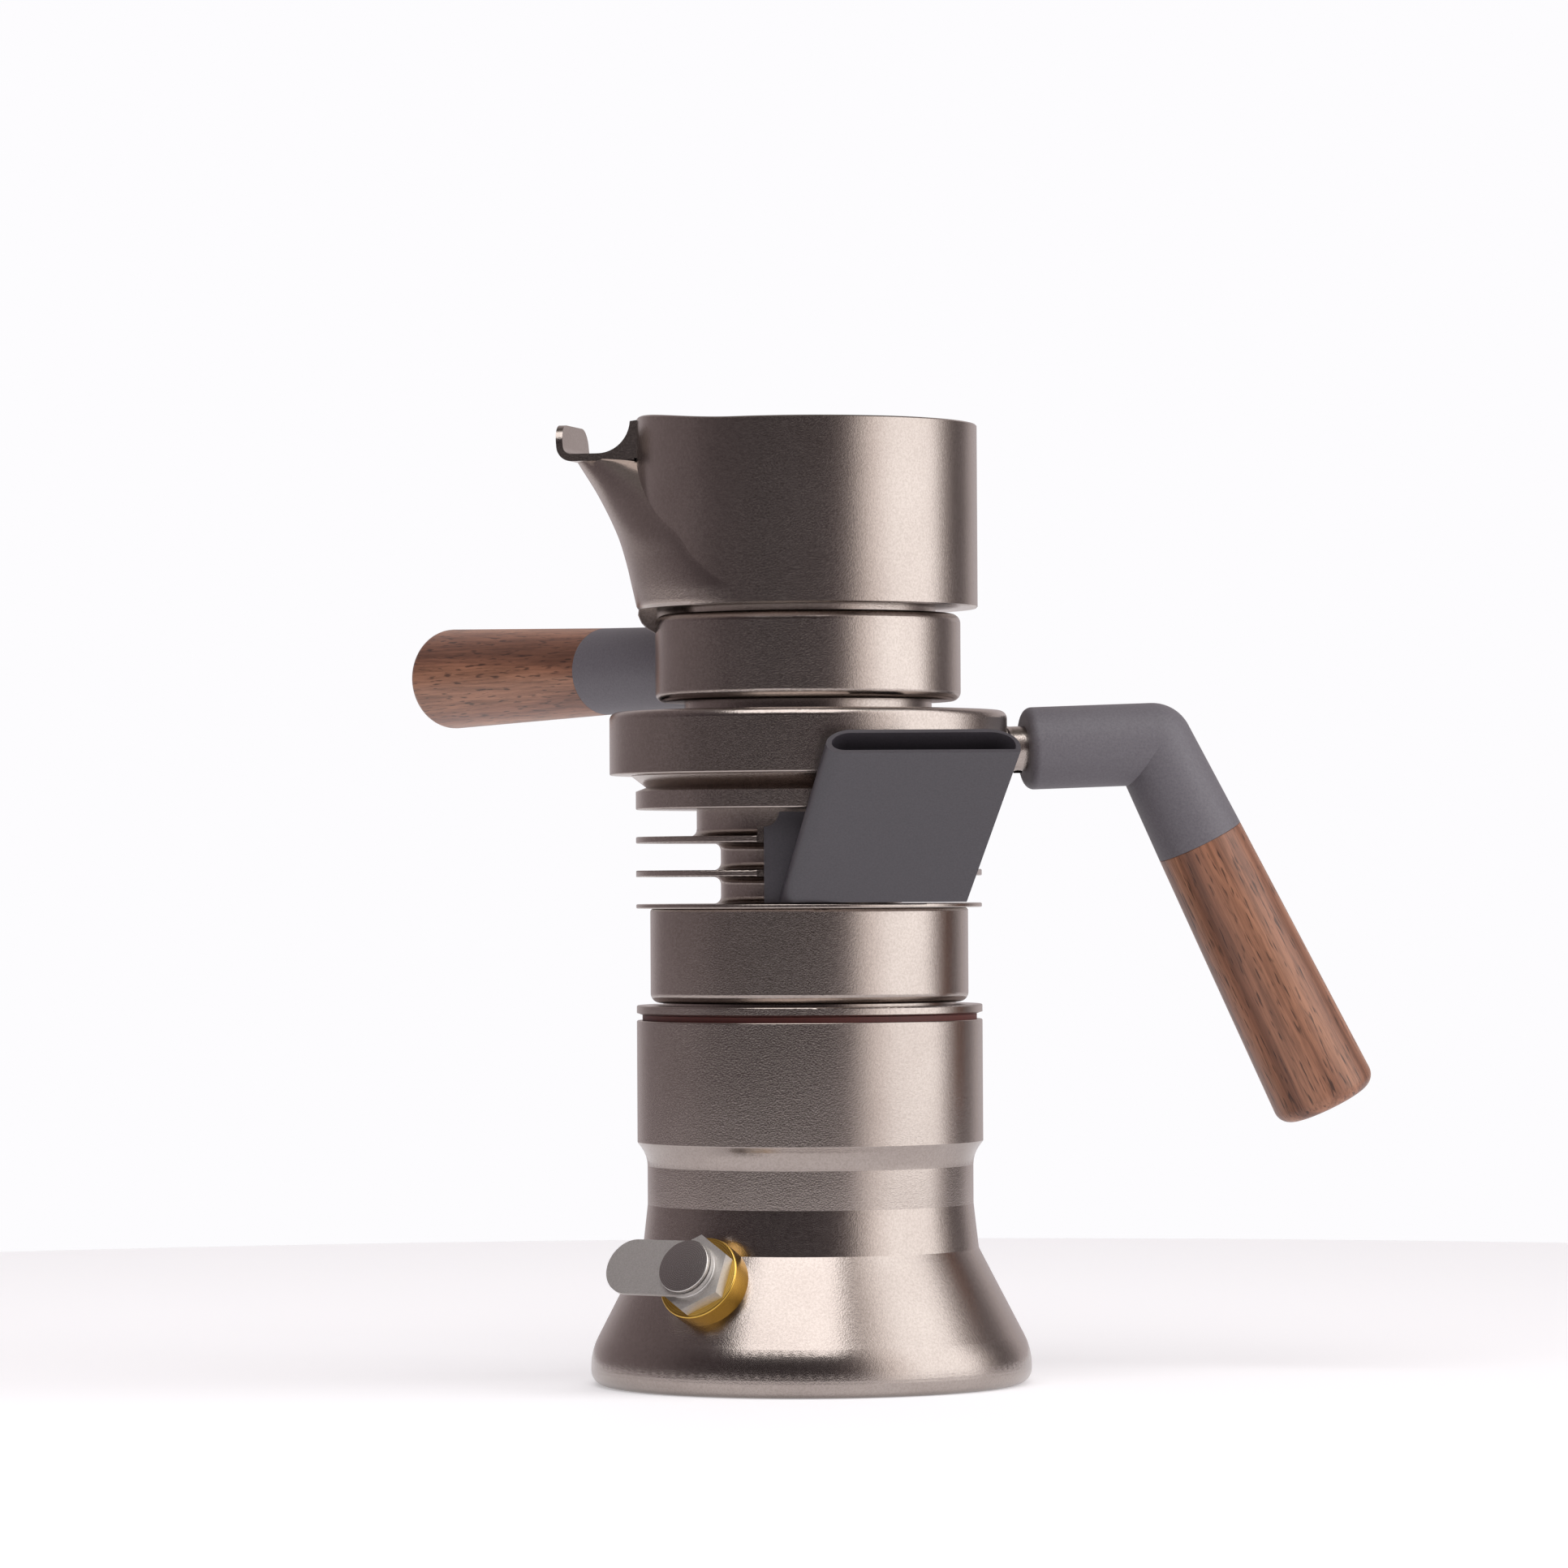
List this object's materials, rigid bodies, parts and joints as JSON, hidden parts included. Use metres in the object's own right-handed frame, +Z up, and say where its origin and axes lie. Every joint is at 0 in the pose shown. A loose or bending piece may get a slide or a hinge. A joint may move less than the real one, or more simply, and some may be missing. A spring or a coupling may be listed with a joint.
{
  "type": "stove-top espresso maker",
  "caption": "Twin-boiler stove-top espresso maker with a finned heat sink, side water funnel, jug with a pouring beak, and wooden elbow and straight handles.",
  "frame": {"origin": "centre of the flat underside of the base, where the pot stands", "axes": "+Z up along the pot's axis, +X towards the elbow handle, -Y roughly towards the water funnel's side"},
  "size_m": [0.2082, 0.206, 0.2223],
  "materials": {
    "nickel": "bead-blasted and nickel-plated, satin",
    "brass": "turned",
    "steel": "satin stainless steel",
    "turned_steel": "turned stainless steel",
    "dark_steel": "blackened steel",
    "spring_steel": "drawn wire",
    "silicone": "dark red silicone",
    "black_plastic": "matte moulded",
    "dark_metal": "matte dark grey, bead-blasted and anodised",
    "walnut": "oiled walnut"
  },
  "bodies": {
    "lower_boiler": {"boiler_base": "nickel", "valve_bush": "brass", "valve_hex_body": "steel", "valve_spring": "spring_steel"},
    "safety_valve": {"valve_stem": "turned_steel"},
    "pull_tab": {"valve_tab": "steel"},
    "sealing_ring": {"boiler_gasket": "silicone"},
    "upper_body": {"boiler_head": "nickel", "pickup_tube": "steel", "regulator_seat": "brass", "regulator_cap": "brass", "regulator_spring": "spring_steel", "second_boiler_shell": "nickel", "heat_exchanger_tube": "steel", "heat_sink": "nickel", "clamp_bolts": "steel", "group_screws": "steel", "group_head": "nickel", "group_gasket": "silicone", "shower_screen": "steel", "filter_basket": "steel", "water_funnel": "black_plastic", "funnel_seal": "silicone", "body_handle_stud": "nickel", "body_handle_grub": "dark_steel", "body_handle_elbow": "dark_metal", "body_handle_grip": "walnut", "body_handle_rod": "steel"},
    "regulator_valve": {"regulator_poppet": "steel"},
    "jug_assembly": {"jug_neck": "nickel", "outlet_screen": "steel", "jug": "nickel", "riser_tube": "steel", "riser_cap": "steel", "jug_seal": "silicone", "riser_nut": "steel", "jug_handle_stud": "nickel", "jug_handle_ferrule": "dark_metal", "jug_handle_grip": "walnut", "jug_handle_rod": "steel"}
  },
  "joints": [
    {"name": "boiler_rise", "type": "slide", "parent": "lower_boiler", "child": "sealing_ring", "axis": [0, 0, 1], "range_m": [0, 0.009]},
    {"name": "boiler_unscrew", "type": "hinge", "parent": "sealing_ring", "child": "upper_body", "pos_m": [0, 0, 0.08], "axis": [0, 0, 1], "range_deg": [0, 1080]},
    {"name": "jug_turn", "type": "hinge", "parent": "upper_body", "child": "jug_assembly", "pos_m": [0, 0, 0.15], "axis": [0, 0, 1], "range_deg": [0, 60]},
    {"name": "valve_lift", "type": "slide", "parent": "lower_boiler", "child": "safety_valve", "axis": [-0.6228, -0.6338, 0.4586], "range_m": [0, 0.0015], "stiffness_N_per_m": 800, "springref_m": -0.002, "deforming": ["valve_spring"]},
    {"name": "tab_swivel", "type": "hinge", "parent": "safety_valve", "child": "pull_tab", "pos_m": [-0.02946, -0.02998, 0.0245], "axis": [-0.6228, -0.6338, 0.4586], "continuous": true},
    {"name": "regulator_lift", "type": "slide", "parent": "upper_body", "child": "regulator_valve", "axis": [0, 0, 1], "range_m": [0, 0.002], "stiffness_N_per_m": 1500, "springref_m": -0.002, "deforming": ["regulator_spring"]}
  ],
  "couplings": [
    {"joint": "boiler_rise", "follows": "boiler_unscrew", "m_per_rad": 0.00047746}
  ]
}
